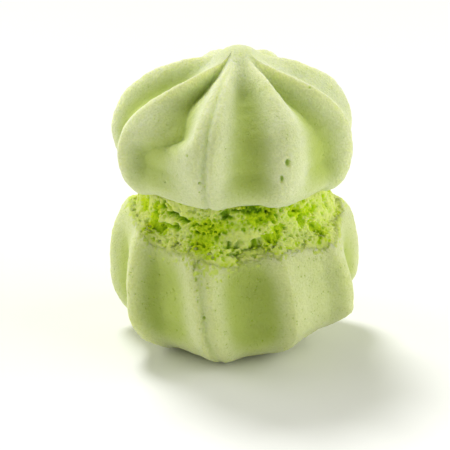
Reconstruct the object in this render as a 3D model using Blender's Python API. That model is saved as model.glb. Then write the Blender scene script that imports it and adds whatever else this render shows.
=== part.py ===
"""Meringue cookie: two piped star kisses joined base to base round an open, crumbly middle.

The upper kiss stands tip up. The lower one is turned over on its squashed tip, which gives the flat foot.
All sizes below are millimetres; the objects are built in metres with +Z up.
"""

import math

import bmesh
import bpy
import numpy as np

MM = 0.001
GAP = 0.3  # left between pieces that touch
STEPS = 8  # mesh columns between one rib crest and the next
NARROW_STEPS = 4  # the same, inside a double rib

# Where the piping axis stands, so that the bounding box is centred on the origin.
AXIS_X = -0.22
AXIS_Y = 0.614

# One row per rib, going round from the front left towards the right, then the hollow that follows it:
# (angle at tip, at rim, reach, crest's half width in degrees, hollow's place at tip, at rim, depth at tip, at rim)
# Angles are degrees from the front (-Y) towards the right (+X); a place runs 0 to 1 between two crests.
UPPER_RIBS = (
    (-33, -65, 1.00, 2.6, 0.72, 0.34, 1.0, 0.85),
    (-18, -17.5, 0.985, 2.0, 0.50, 0.50, 0.0, 0.24),
    (-11, -9.5, 0.985, 2.0, 0.14, 0.52, 1.0, 1.0),
    (23, 26, 0.985, 5.5, 0.50, 0.72, 1.0, 1.0),
    (40, 69, 0.975, 2.6, 0.50, 0.50, 1.0, 1.0),
    (98, 106, 0.97, 3.0, 0.50, 0.50, 1.0, 1.0),
    (150, 155, 0.995, 3.0, 0.50, 0.50, 1.0, 1.0),
    (205, 203, 0.995, 3.0, 0.50, 0.50, 1.0, 1.0),
    (258, 253, 1.00, 3.0, 0.30, 0.36, 1.0, 1.0),
)
LOWER_RIBS = (
    (-56, -58, 1.00, 5.0, 0.40, 0.38, 1.0, 1.0),
    (-9.5, -22.5, 1.02, 2.0, 0.50, 0.50, 0.16, 0.16),
    (-2, -15, 1.02, 2.0, 0.42, 0.42, 1.0, 1.0),
    (36, 22.5, 1.00, 5.5, 0.66, 0.70, 0.6, 0.62),
    (76, 51, 1.07, 3.0, 0.50, 0.50, 1.0, 1.0),
    (110, 105, 1.09, 3.0, 0.50, 0.50, 1.0, 1.0),
    (160, 155, 1.00, 3.0, 0.50, 0.50, 1.0, 1.0),
    (208, 203, 1.00, 3.0, 0.50, 0.50, 1.0, 1.0),
    (258, 254, 1.05, 3.0, 0.50, 0.50, 1.0, 1.0),
)
DOUBLE_RIB = 1  # the row whose rib is split in two by a narrow groove, on both kisses

UPPER = {
    "ribs": UPPER_RIBS,
    "up": 1,
    "widest_z": 37.6,  # height of the widest ring
    "radius": 22.6,
    "dome": 14.65,  # from the widest ring to the shoulder of the tip
    "square": 2.0,  # 2 is a round dome, more is boxier
    "foot": 0.0,
    "tip": 1.6,  # height of the blunt tip over the dome
    "tip_width": 3.3,
    "lean_x": 1.0,  # how far the tip sits off the axis
    "turned_by": 0.5,  # share of the profile by which a rib has reached its angle at the rim
    "curl": 8.3,  # from the widest ring to the base
    "curl_radius": 16.9,
    "hollow": 3.8,  # depth of the hollows between ribs
    "hollow_from": 2.0,
    "hollow_full": 13.0,
    "dome_ease": 0.0,
    "curl_ease": 0.75,
    "lift": 0.0,
    "tilt": math.radians(2.5),  # it sits leaning back a little
}
LOWER = {
    "ribs": LOWER_RIBS,
    "up": -1,
    "widest_z": 11.68,
    "radius": 22.06,
    "dome": 11.68,
    "square": 2.4,
    "foot": 8.0,  # radius of the squashed tip it stands on
    "tip": 0.0,
    "tip_width": 1.0,
    "lean_x": 0.0,
    "turned_by": 1.2,
    "curl": 13.5,
    "curl_radius": 16.2,
    "hollow": 3.6,
    "hollow_from": 8.0,
    "hollow_full": 21.0,
    "dome_ease": 0.55,
    "curl_ease": 0.65,
    "lift": 3.2,  # how far the underside rises at the right
    "tilt": 0.0,
}
FOOT_T = 0.12  # share of the profile spent on the foot
WIDEST_T = 0.62  # share of the profile spent above the widest ring
CURL_TURN = math.radians(82)
ARRIS_SOFT = 0.22  # how soft the edge between a crest and its hollow is
SCOOP_ROUND = 1.3  # radius of a hollow's arc, over its half width

# The middle shows lower down at the front, where the lower kiss's skin has broken away.
OPEN_MIDDLE = math.radians(4)
OPEN_FROM = math.radians(54)
OPEN_TO = math.radians(82)
OPEN_T = 0.86  # how far along the profile the lower skin reaches there
SEAT_Z = 23.6  # height of the lower kiss's top at its centre
MIDDLE_RADIUS = 16.3
MIDDLE_WAVE = 0.3
MIDDLE_SINK = 0.25
# (angle, height, half width, half height, depth) of the larger hollows, and one lump, in the middle's side
HOLLOWS = (
    (-47, 28.0, 1.1, 1.6, 1.5),
    (-37, 26.2, 2.2, 0.7, 1.5),
    (-34, 23.3, 0.8, 0.6, 1.1),
    (-16, 26.6, 1.5, 0.9, 0.9),
    (7, 28.4, 2.8, 1.4, 1.9),
    (8, 22.4, 2.0, 0.8, 1.4),
    (12, 24.4, 1.5, 0.7, -0.7),
    (40, 23.2, 0.9, 0.7, 1.0),
    (59, 26.3, 1.0, 0.9, 1.0),
    (76, 26.8, 0.8, 1.6, 1.2),
    (128, 27.0, 2.0, 1.0, 1.1),
    (215, 27.2, 2.2, 0.9, 1.1),
)

SKIN = ((0.60, 0.68, 0.30, 1.0), 0.82)
CRUMB = ((0.38, 0.58, 0.02, 1.0), 0.9)


def smooth(x, low, high):
    t = np.clip((x - low) / (high - low), 0.0, 1.0)
    return t * t * (3.0 - 2.0 * t)


def clear_scene():
    for obj in list(bpy.data.objects):
        bpy.data.objects.remove(obj, do_unlink=True)
    for block in (bpy.data.meshes, bpy.data.materials):
        for item in list(block):
            block.remove(item)


def columns_of(ribs):
    """Each mesh column as (rib it follows, place 0 to 1 towards the next), closer together at the crests."""
    rows = []
    for i in range(len(ribs)):
        steps = NARROW_STEPS if i == DOUBLE_RIB else STEPS
        for k in range(steps):
            rows.append((i, 0.5 - 0.5 * math.cos(math.pi * k / steps)))
    return rows


def profile(kiss, t):
    """Radius, and height away from the widest ring, along a crest from tip (t 0) to rim (t 1)."""
    foot_t = FOOT_T if kiss["foot"] > 0 else 0.0
    on_foot = kiss["foot"] * np.clip(t / max(foot_t, 1e-9), 0.0, 1.0)
    angle = np.clip((t - foot_t) / (WIDEST_T - foot_t), 0.0, 1.0) * math.pi / 2
    power = 2.0 / kiss["square"]
    dome_r = kiss["foot"] + (kiss["radius"] - kiss["foot"]) * np.sin(angle) ** power
    dome_r = np.where(t < foot_t, on_foot, dome_r)
    dome_h = kiss["dome"] * np.clip(np.cos(angle), 0.0, 1.0) ** power
    dome_h = dome_h + kiss["tip"] * np.exp(-((dome_r / kiss["tip_width"]) ** 2))
    turn = np.clip((t - WIDEST_T) / (1.0 - WIDEST_T), 0.0, 1.0) * CURL_TURN
    curl_r = kiss["curl_radius"] + (kiss["radius"] - kiss["curl_radius"]) * np.cos(turn)
    curl_h = -kiss["curl"] * np.sin(turn)
    above = t <= WIDEST_T
    return np.where(above, dome_r, curl_r), np.where(above, dome_h, curl_h)


def profile_normal(kiss, t):
    step = 1e-3
    r0, h0 = profile(kiss, np.clip(t - step, 0.0, 1.0))
    r1, h1 = profile(kiss, np.clip(t + step, 0.0, 1.0))
    length = np.maximum(np.hypot(r1 - r0, h1 - h0), 1e-9)
    return -(h1 - h0) / length, (r1 - r0) / length


def hollow_share(kiss, r, h):
    """How much of the full hollow depth there is at this radius and height."""
    share = smooth(r, kiss["hollow_from"], kiss["hollow_full"])
    share = share * (1.0 - kiss["dome_ease"] * smooth(h, 0.35 * kiss["dome"], 0.95 * kiss["dome"]))
    return share * (1.0 - kiss["curl_ease"] * smooth(-h, 0.25 * kiss["curl"], kiss["curl"]))


def turned(a, b, share):
    """The angle a share of the way from a to b in degrees, the short way round."""
    return a + ((b - a + 180.0) % 360.0 - 180.0) * share


def tilted(kiss, y, z):
    """Leans a point of the kiss back about the middle of its base."""
    base = kiss["widest_z"] - kiss["up"] * kiss["curl"] * math.sin(CURL_TURN)
    sine, cosine = math.sin(kiss["tilt"]), math.cos(kiss["tilt"])
    return y * cosine + (z - base) * sine, base + (z - base) * cosine - y * sine


def scoop(past):
    """Depth 0 to 1 across half a hollow, from the rounded edge of the crest down an arc to the bottom."""
    past = past + np.sqrt(past**2 + ARRIS_SOFT**2)
    past = past / (1.0 + math.sqrt(1.0 + ARRIS_SOFT**2))
    edge = math.sqrt(SCOOP_ROUND**2 - 1.0)
    return (np.sqrt(SCOOP_ROUND**2 - (1.0 - past) ** 2) - edge) / (SCOOP_ROUND - edge)


def skin_point(kiss, t, rib, place, sink=0.0):
    """A point on the piped surface: t along the profile, place between this rib and the next."""
    near = np.array(kiss["ribs"])[rib]
    far = np.array(kiss["ribs"])[(rib + 1) % len(kiss["ribs"])]
    at_tip = near[..., 0] + ((far[..., 0] - near[..., 0]) % 360.0) * place
    at_rim = near[..., 1] + ((far[..., 1] - near[..., 1]) % 360.0) * place
    angle = np.radians(turned(at_tip, at_rim, smooth(t, 0.0, kiss["turned_by"])))
    hollow_at = near[..., 4] + (near[..., 5] - near[..., 4]) * t
    hollow_deep = near[..., 6] + (near[..., 7] - near[..., 6]) * t
    gap = (far[..., 1] - near[..., 1]) % 360.0
    before = place <= hollow_at
    side = np.where(before, hollow_at, 1.0 - hollow_at)
    from_crest = np.where(before, place, 1.0 - place) / side
    arris = np.where(before, near[..., 3], far[..., 3]) / (gap * side)
    top = scoop(-arris / (1.0 - arris))
    deep = (scoop((from_crest - arris) / (1.0 - arris)) - top) / (1.0 - top)
    r, h = profile(kiss, t)
    out_r, out_h = profile_normal(kiss, t)
    depth = kiss["hollow"] * hollow_share(kiss, r, h) * hollow_deep * deep + sink
    reach = near[..., 2] + (far[..., 2] - near[..., 2]) * smooth(place, 0.0, 1.0)
    radius = np.maximum(r - out_r * depth, 0.0) * (1.0 + (reach - 1.0) * smooth(r, 3.0, 14.0))
    height = h - out_h * depth
    lean = kiss["lean_x"] * smooth(height, 0.0, kiss["dome"])
    x = radius * np.sin(angle) + lean
    y = -radius * np.cos(angle)
    z = kiss["widest_z"] + kiss["up"] * height
    low = smooth(kiss["widest_z"] - z, 0.0, kiss["dome"])
    z = z + kiss["lift"] * low * smooth(0.97 * x - 0.2 * y, 6.0, 22.0)
    y, z = tilted(kiss, y, z)
    return x, y, z, angle


def lower_end(angle):
    """How far along the profile the lower kiss's skin reaches at this angle."""
    away = np.abs((angle - OPEN_MIDDLE + math.pi) % (2.0 * math.pi) - math.pi)
    return OPEN_T + (1.0 - OPEN_T) * smooth(away, OPEN_FROM, OPEN_TO)


def skin_end(kiss, rib, place):
    if kiss is UPPER:
        return np.ones_like(place)
    angle = skin_point(kiss, np.ones_like(place), rib, place)[3]
    return lower_end(angle)


def upper_base_z(y):
    """Height of the upper kiss's flat base, which is tilted with it."""
    base = UPPER["widest_z"] - UPPER["curl"] * math.sin(CURL_TURN)
    return base - y * math.tan(UPPER["tilt"])


def grid_of(bm, columns, rings):
    """The sphere's vertices with the column and ring each one stands for."""
    verts = list(bm.verts)
    points = np.array([v.co[:] for v in verts])
    around = np.arctan2(points[:, 1], points[:, 0]) % (2.0 * math.pi)
    column = np.round(around / (2.0 * math.pi) * columns).astype(int) % columns
    down = np.arccos(np.clip(points[:, 2], -1.0, 1.0))
    ring = np.round(down / math.pi * rings).astype(int)
    return verts, column, ring


def new_sphere(columns, rings):
    bm = bmesh.new()
    bmesh.ops.create_uvsphere(bm, u_segments=columns, v_segments=rings, radius=1.0)
    return bm


def set_points(verts, x, y, z):
    for vert, px, py, pz in zip(verts, x, y, z):
        vert.co = ((px + AXIS_X) * MM, (py + AXIS_Y) * MM, pz * MM)


def finish(bm, name, material, collection):
    """Closes the work on a mesh: outward normals, an object and its material."""
    bmesh.ops.recalc_face_normals(bm, faces=bm.faces)
    if bm.calc_volume(signed=True) < 0:
        bmesh.ops.reverse_faces(bm, faces=bm.faces)
    mesh = bpy.data.meshes.new(name)
    bm.to_mesh(mesh)
    bm.free()
    for polygon in mesh.polygons:
        polygon.use_smooth = True
    obj = bpy.data.objects.new(name, mesh)
    obj.data.materials.append(material)
    collection.objects.link(obj)
    return obj


def make_kiss(name, kiss, skin_rings, base_rings, material, collection):
    """One piped kiss: a sphere whose rings follow the profile, then run in across the base."""
    steps = columns_of(kiss["ribs"])
    rings = skin_rings + base_rings
    bm = new_sphere(len(steps), rings)
    verts, column, ring = grid_of(bm, len(steps), rings)
    rib = np.array([s[0] for s in steps])[column]
    place = np.array([s[1] for s in steps])[column]
    end = skin_end(kiss, rib, place)
    t = np.clip(ring / skin_rings, 0.0, 1.0) * end
    x, y, z, _ = skin_point(kiss, t, rib, place)
    inward = np.clip((ring - skin_rings) / base_rings, 0.0, 1.0)
    x, y = x * (1.0 - inward), y * (1.0 - inward)
    if kiss is UPPER:
        z = np.where(ring >= skin_rings, upper_base_z(y), z)
    else:
        z = z + (SEAT_Z - z) * inward
    set_points(verts, x, y, z)
    return finish(bm, name, material, collection)


def middle_relief(angle, z):
    """How far the middle's broken side stands in (+) or out (-) at this angle and height."""
    wave = np.sin(7.0 * angle + 0.9 * z) + 0.7 * np.sin(11.0 * angle - 1.3 * z + 1.0)
    sink = MIDDLE_WAVE * (0.6 - 0.6 * wave)
    for centre, height, wide, tall, deep in HOLLOWS:
        off = (angle - math.radians(centre) + math.pi) % (2.0 * math.pi) - math.pi
        across = off * MIDDLE_RADIUS / wide
        up = (z - height) / tall
        sink = sink + deep * np.exp(-(across**2) - up**2)
    return sink


def make_middle(name, material, collection):
    """The crumbly layer: from the lower kiss's top to the upper one's base, right through the cookie."""
    steps = columns_of(LOWER_RIBS)
    seat_rings, side_rings, top_rings = 2, 9, 2
    rings = seat_rings + side_rings + top_rings
    bm = new_sphere(len(steps), rings)
    verts, column, ring = grid_of(bm, len(steps), rings)
    rib = np.array([s[0] for s in steps])[column]
    place = np.array([s[1] for s in steps])[column]
    end = skin_end(LOWER, rib, place)
    ones = np.ones_like(place)
    foot_x, foot_y, foot_z, _ = skin_point(LOWER, end, rib, place, MIDDLE_SINK)
    rise = np.clip((ring - seat_rings) / side_rings, 0.0, 1.0)
    low_share = 0.45
    t = end + (1.0 - end) * np.clip(rise / low_share, 0.0, 1.0)
    x, y, z, angle = skin_point(LOWER, t, rib, place, MIDDLE_SINK)
    rim_x, rim_y, rim_z, angle = skin_point(LOWER, ones, rib, place, MIDDLE_SINK)
    climb = np.clip((rise - low_share) / (1.0 - low_share), 0.0, 1.0)
    round_x = MIDDLE_RADIUS * np.sin(angle)
    round_y = -MIDDLE_RADIUS * np.cos(angle)
    top_z = upper_base_z(round_y) - GAP
    ease = smooth(climb, 0.0, 1.0)
    above = rise > low_share
    x = np.where(above, rim_x + (round_x - rim_x) * ease, x)
    y = np.where(above, rim_y + (round_y - rim_y) * ease, y)
    z = np.where(above, rim_z + GAP + (top_z - rim_z - GAP) * climb, z + GAP)
    radius = np.maximum(np.hypot(x, y), 1e-6)
    sink = middle_relief(angle, z) * smooth(rise, 0.0, 0.12) * (1.0 - smooth(rise, 0.9, 1.0))
    x, y = x * (1.0 - sink / radius), y * (1.0 - sink / radius)
    below = np.clip(ring / seat_rings, 0.0, 1.0)
    over = np.clip((ring - seat_rings - side_rings) / top_rings, 0.0, 1.0)
    seat_z = SEAT_Z + (foot_z - SEAT_Z) * below + GAP
    x = np.where(ring < seat_rings, foot_x * below, x * (1.0 - over))
    y = np.where(ring < seat_rings, foot_y * below, y * (1.0 - over))
    z = np.where(ring < seat_rings, seat_z, z)
    z = np.where(ring >= seat_rings + side_rings, upper_base_z(y) - GAP, z)
    set_points(verts, x, y, z)
    return finish(bm, name, material, collection)


def make_material(name, color, roughness):
    material = bpy.data.materials.new(name)
    material.use_nodes = True
    shader = material.node_tree.nodes["Principled BSDF"]
    shader.inputs["Base Color"].default_value = color
    shader.inputs["Roughness"].default_value = roughness
    shader.inputs["Metallic"].default_value = 0.0
    return material


def main():
    clear_scene()
    collection = bpy.data.collections.new("meringue_cookie")
    bpy.context.scene.collection.children.link(collection)
    upper_skin = make_material("upper_skin", *SKIN)
    lower_skin = make_material("lower_skin", *SKIN)
    crumb = make_material("crumb", *CRUMB)
    make_kiss("upper_meringue", UPPER, 27, 2, upper_skin, collection)
    make_kiss("lower_meringue", LOWER, 26, 2, lower_skin, collection)
    make_middle("crumb_layer", crumb, collection)


main()
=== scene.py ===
"""Meringue cookie: two piped star kisses joined base to base, with an open crumb showing between them.

Shapes are worked out in millimetres, by the same profile, ribs and hollows as the solids, and scaled to
metres when they are written to a mesh. A few ribs, and the open edge of the lower skin, are set more
finely here than in the solids. Angles go round from the front (-Y) towards the right (+X).
"""

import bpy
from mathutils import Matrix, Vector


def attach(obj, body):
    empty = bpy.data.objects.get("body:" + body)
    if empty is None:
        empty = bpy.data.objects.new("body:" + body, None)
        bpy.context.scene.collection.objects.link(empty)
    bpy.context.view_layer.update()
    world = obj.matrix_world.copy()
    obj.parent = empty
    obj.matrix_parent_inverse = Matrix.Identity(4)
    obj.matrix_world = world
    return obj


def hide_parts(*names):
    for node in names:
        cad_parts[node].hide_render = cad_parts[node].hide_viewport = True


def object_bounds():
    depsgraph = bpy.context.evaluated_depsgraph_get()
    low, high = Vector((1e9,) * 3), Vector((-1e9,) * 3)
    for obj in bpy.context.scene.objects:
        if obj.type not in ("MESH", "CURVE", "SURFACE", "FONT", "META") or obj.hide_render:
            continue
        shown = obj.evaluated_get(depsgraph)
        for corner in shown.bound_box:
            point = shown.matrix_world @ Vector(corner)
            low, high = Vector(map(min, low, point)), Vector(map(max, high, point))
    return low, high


bl_info = {
    "name": "Meringue cookie",
    "version": (1, 0, 0),
    "blender": (4, 5, 0),
    "location": "View3D > Sidebar > Meringue",
    "description": "Dresses a double meringue cookie: ribbed skins, open crumb, stage and camera",
    "category": "Object",
}

import math

import bmesh
import bpy
import numpy as np
from bpy.props import FloatProperty, FloatVectorProperty, IntProperty, PointerProperty
from mathutils import Vector

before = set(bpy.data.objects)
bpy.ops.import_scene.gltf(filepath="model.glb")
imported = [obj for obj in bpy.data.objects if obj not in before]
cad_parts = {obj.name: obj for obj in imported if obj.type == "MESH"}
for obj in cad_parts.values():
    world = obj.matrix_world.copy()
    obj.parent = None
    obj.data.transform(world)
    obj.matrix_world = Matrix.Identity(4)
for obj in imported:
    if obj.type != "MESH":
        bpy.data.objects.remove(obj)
CAD_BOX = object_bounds()

MM = 0.001
WELD = 1e-8  # metres: points closer than this are one
SEED = 7  # every random draw and every noise starts from it

# Where the piping axis stands in the frame.
AXIS_X = -0.22
AXIS_Y = 0.614

# One row per rib, going round from the front left towards the right, with the hollow that follows it. The
# double rib has a row for each half. A row holds:
# (angle at tip, at rim, reach, crest's half width in degrees, hollow's place at tip, at rim,
# depth at tip, at rim, how far the hollow swings on partway down, how sharp its bottom is)
# Angles are degrees, a place runs 0 to 1 between two crests, and a depth is a share of a full hollow.
TIP_ANGLE, RIM_ANGLE, REACH, CREST_WIDTH = 0, 1, 2, 3
TIP_PLACE, RIM_PLACE, TIP_DEPTH, RIM_DEPTH, SWING, SHARPNESS = 4, 5, 6, 7, 8, 9
UPPER_RIBS = (
    (-34, -61.5, 1.00, 2.6, 0.11, 0.28, 1.0, 0.85, 0.54, 0.6),
    (-18, -17.5, 0.985, 2.0, 0.50, 0.50, 0.0, 0.24, 0.0, 0.0),
    (-11, -9.5, 0.985, 2.0, 0.46, 0.52, 0.9, 1.0, 0.0, 0.0),
    (23, 26, 0.985, 5.5, 0.52, 0.76, 0.9, 1.0, 0.0, 0.3),
    (40, 69, 0.975, 2.6, 0.50, 0.50, 0.6, 0.7, 0.0, 0.0),
    (98, 106, 0.97, 3.0, 0.50, 0.50, 1.0, 1.0, 0.0, 0.0),
    (150, 155, 0.995, 3.0, 0.50, 0.50, 1.0, 1.0, 0.0, 0.0),
    (205, 203, 0.995, 3.0, 0.50, 0.50, 1.0, 1.0, 0.0, 0.0),
    (258, 253, 1.00, 3.0, 0.30, 0.36, 1.0, 1.0, 0.0, 0.0),
)
LOWER_RIBS = (
    (-56, -58, 1.00, 3.4, 0.36, 0.32, 1.1, 1.1, 0.0, 0.0),
    (-9.5, -22.5, 1.02, 1.6, 0.34, 0.34, 0.13, 0.13, 0.0, 0.0),
    (-2, -15, 1.02, 2.0, 0.46, 0.49, 1.1, 1.18, 0.0, 0.0),
    (36, 22.5, 1.00, 2.2, 0.66, 0.70, 0.6, 0.62, 0.0, 0.0),
    (76, 51, 1.07, 3.0, 0.50, 0.50, 1.0, 1.0, 0.0, 0.0),
    (110, 105, 1.09, 3.0, 0.50, 0.50, 1.0, 1.0, 0.0, 0.0),
    (160, 155, 1.00, 3.0, 0.50, 0.50, 1.0, 1.0, 0.0, 0.0),
    (208, 203, 1.00, 3.0, 0.50, 0.50, 1.0, 1.0, 0.0, 0.0),
    (258, 254, 1.05, 3.0, 0.50, 0.50, 1.0, 1.0, 0.0, 0.0),
)
DOUBLE_RIB = 1  # the row whose rib is split in two by a narrow groove, on both kisses
RIB_COLUMNS = 62  # mesh columns between one crest and the next
NARROW_COLUMNS = 24  # the same, inside a double rib
SKIN_RINGS = 178  # mesh rings from the tip to the rim
BASE_RINGS = 8  # and from the rim in across the base
CRUMB_COLUMNS = 86
CRUMB_NARROW_COLUMNS = 16
CRUMB_SIDE_RINGS = 116
CRUMB_END_RINGS = 8
BUBBLE_RINGS = 12  # how many rings a bubble may reach either way

UPPER = {
    "ribs": UPPER_RIBS,
    "up": 1,
    "widest_z": 37.6,  # height of the widest ring
    "radius": 22.6,
    "dome": 14.65,  # from the widest ring to the shoulder of the tip
    "square": 2.0,  # 2 is a round dome, more is boxier
    "foot": 0.0,
    "tip": 1.6,  # height of the blunt tip over the dome
    "tip_width": 3.3,
    "lean_x": 1.0,  # how far the tip sits off the axis
    "turned_by": 0.5,  # share of the profile by which a rib has reached its angle at the rim
    "curl": 8.3,  # from the widest ring to the base
    "curl_radius": 16.9,
    "hollow": 3.8,  # depth of the hollows between ribs
    "hollow_from": 2.0,
    "hollow_full": 13.0,
    "dome_ease": 0.0,
    "curl_ease": 0.75,
    "lift": 0.0,
    "tilt": math.radians(2.5),  # it sits leaning back a little
}
LOWER = {
    "ribs": LOWER_RIBS,
    "up": -1,
    "widest_z": 11.68,
    "radius": 22.06,
    "dome": 11.68,
    "square": 2.4,
    "foot": 8.0,  # radius of the squashed tip it stands on
    "tip": 0.0,
    "tip_width": 1.0,
    "lean_x": 0.0,
    "turned_by": 1.2,
    "curl": 13.5,
    "curl_radius": 16.2,
    "hollow": 3.6,
    "hollow_from": 8.0,
    "hollow_full": 21.0,
    "dome_ease": 0.55,
    "curl_ease": 0.65,
    "lift": 3.2,  # how far the underside rises at the right
    "tilt": 0.0,
}
FOOT_T = 0.12  # share of the profile, from tip to rim, at the edge of the foot
WIDEST_T = 0.62  # and at the widest ring
CURL_TURN = math.radians(82)  # how far round the curl goes before the rim
ARRIS_SOFT = 0.22  # how soft the edge between a crest and its hollow is
SCOOP_ROUND = 1.3  # radius of a hollow's arc, over its half width

# The lower skin's open front: fully open to OPEN_FROM either way of its middle, closed from OPEN_TO on.
OPEN_MIDDLE = math.radians(4)
OPEN_FROM = math.radians(54)
OPEN_TO = math.radians(82)
OPEN_T = 0.925  # share of the profile at which the skin ends there
SAG_T = 0.04  # how much sooner it ends just left of the front
SAG_AT = -9.0  # degrees
SAG_WIDTH = 17.0  # degrees
RAGGED_EDGE = ((0.016, 2.6), (0.014, 0.9), (0.009, 0.4))  # (share of the profile, size)
CRUMBLED_RINGS = 30.0  # how many rings below its edge the skin has crumbled
CRUMBLED_MORE = 16.0  # and how many more at the front left
CRUMBLED_AT = -15.0  # degrees
CRUMBLED_WIDTH = 8.0  # degrees
CRUMBLED_PATCHES = ((0.4, 1.1), (0.8, 0.45))  # (strength, size)
CRUMBLED_DEPTH = 0.12
DIP_RINGS = 14  # the last rings of the skin, which dip in under the crumb
SKIN_LUMPS = ((1.0, 6.0), (0.5, 2.6), (0.3, 1.1), (0.3, 0.55))  # (share of the relief, size)
PINHOLE_RADIUS = 0.13  # the smallest
PINHOLE_SPREAD = 0.16  # how much wider the widest is
PINHOLE_DEPTH = 1.1  # over its radius

SEAT_Z = 23.6  # height of the crumb's underside, inside the lower kiss
MIDDLE_RADIUS = 16.3  # the crumb's, where it meets the upper kiss
UNDER_SKIN = 0.14  # share of the profile that the crumb runs on behind the lower skin
ON_LOWER = 0.5  # share of the crumb's side rings that follow the lower kiss; the rest climb to the upper one
HIDDEN_RINGS = 0.08  # share of those on the lower kiss that lie deep behind its skin
CRUMB_SINK = 0.1  # how far the crumb lies inside the whole skin's surface
HIDDEN_SINK = 0.6  # and how much further where it is hidden
RIM_SINK = 0.15
BUBBLE_RADIUS = 0.12  # the smallest
BUBBLE_SPREAD = 0.34  # how much wider the widest is
BUBBLE_CHANCE = 0.35  # that a bubble opens in pale crumb
LIME_CHANCE = 0.6  # how much likelier it is in lime-green crumb

# Single pores that break the skin: (angle, height, radius, depth, how much taller than wide)
UPPER_PORES = (
    (24.1, 39.6, 0.45, 0.7, 1.6),
    (21.7, 36.7, 0.45, 0.7, 1.5),
    (-36.6, 34.6, 0.26, 0.45, 1.0),
    (-15.1, 36.2, 0.27, 0.5, 1.2),
    (-15.5, 34.4, 0.25, 0.4, 1.0),
)
LOWER_PORES = (
    (-18.6, 21.0, 0.34, 0.35, 1.5),
    (-17.5, 18.8, 0.36, 0.4, 1.3),
    (-16.6, 16.9, 0.24, 0.3, 1.0),
    (-15.8, 15.0, 0.26, 0.3, 1.3),
    (-13.4, 11.9, 0.3, 0.35, 1.2),
    (-36.4, 13.9, 0.24, 0.4, 1.0),
    (-33.4, 14.9, 0.28, 0.45, 1.0),
    (-31.4, 13.4, 0.22, 0.35, 1.0),
)

# Spots of the crumb: (angle, height, half width, half height, depth, lime, deep green, which is painted shade
# in the deep spots).
# A negative depth stands proud, and a negative lime is paler.
CRUMB_SPOTS = (
    (-72, 26.9, 2.4, 1.2, 0.4, 1.0, 0.1),
    (-55, 27.0, 0.9, 1.6, 0.3, 0.8, 0.0),
    (-50, 28.6, 0.8, 1.0, 1.3, 0.8, 0.9),
    (-42, 27.7, 1.8, 0.6, 1.5, 0.7, 0.9),
    (-33, 27.2, 1.5, 0.6, 1.4, 0.6, 1.0),
    (-40, 25.3, 2.0, 0.5, 1.3, 0.8, 0.7),
    (-47, 24.6, 1.2, 0.6, 0.9, 0.9, 0.4),
    (-55, 24.6, 1.4, 0.8, 0.4, 0.8, 0.0),
    (-43, 26.5, 0.9, 0.4, -0.2, -0.6, 0.0),
    (-33, 23.0, 0.9, 0.5, 1.2, 0.3, 1.0),
    (-38, 23.9, 1.1, 0.6, -0.4, -1.0, 0.0),
    (-33, 28.9, 3.0, 0.9, -0.1, -0.7, 0.0),
    (-15, 26.5, 3.4, 1.6, 0.5, 0.9, 0.0),
    (-17, 24.0, 2.6, 1.0, 0.4, 0.7, 0.0),
    (-11, 22.5, 1.6, 0.6, 0.3, 0.6, 0.0),
    (-4, 28.6, 1.1, 0.9, 1.3, 0.5, 0.9),
    (9, 29.5, 3.6, 0.8, 1.5, 0.7, 0.7),
    (18, 28.2, 3.0, 1.2, 0.9, 1.1, 0.0),
    (2, 27.2, 1.8, 1.0, 0.3, 0.2, 0.4),
    (9.5, 25.2, 2.4, 0.8, -0.6, -1.2, 0.0),
    (-1, 23.8, 1.4, 0.6, 0.9, 0.3, 0.7),
    (6, 22.5, 2.4, 0.6, 1.3, 0.3, 0.9),
    (12.6, 23.3, 1.1, 0.8, 1.0, 0.5, 0.6),
    (20, 24.5, 1.2, 0.8, 0.6, 1.0, 0.0),
    (27, 25.6, 1.3, 0.9, 0.5, 0.9, 0.0),
    (40, 28.2, 1.3, 0.9, 0.8, 1.0, 0.1),
    (43, 26.5, 0.8, 0.8, 0.8, 1.0, 0.2),
    (54, 27.8, 1.9, 0.6, 0.6, 1.0, 0.0),
    (52, 24.8, 1.2, 1.1, 0.6, 0.9, 0.0),
    (39, 22.9, 0.6, 0.5, 1.0, 0.4, 1.0),
    (75, 26.9, 1.0, 1.7, 1.1, 0.8, 0.6),
    (100, 27.5, 2.0, 1.0, 0.8, 0.9, 0.2),
    (128, 27.0, 2.0, 1.0, 1.1, 0.8, 0.4),
    (160, 26.0, 2.6, 1.2, 0.5, 0.9, 0.0),
    (190, 27.6, 1.8, 0.8, 0.7, 0.8, 0.3),
    (215, 27.2, 2.2, 0.9, 1.1, 0.8, 0.5),
    (250, 26.5, 2.0, 1.2, 0.6, 0.9, 0.1),
)


DUST_COLOR = (0.42, 0.52, 0.08)  # the fine specks in a skin
PORE_COLOR = (0.42, 0.58, 0.04)  # the inside of a pore or pinhole

# Lights: (turn from the front, height above level, both in degrees, distance), and how wide each is.
KEY_FROM, KEY_WIDTH = (205, 55, 1.0), math.radians(20.0)
LEFT_FROM, LEFT_SIZE = (264, 26, 0.45), (0.4, 0.3)
RIGHT_FROM, RIGHT_SIZE = (78, 26, 0.45), (0.5, 0.35)
AIM = (-1.72, AXIS_Y, -6.1)  # what the camera looks at, from the middle of the solids' box


# ---------------------------------------------------------------- settings


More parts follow.
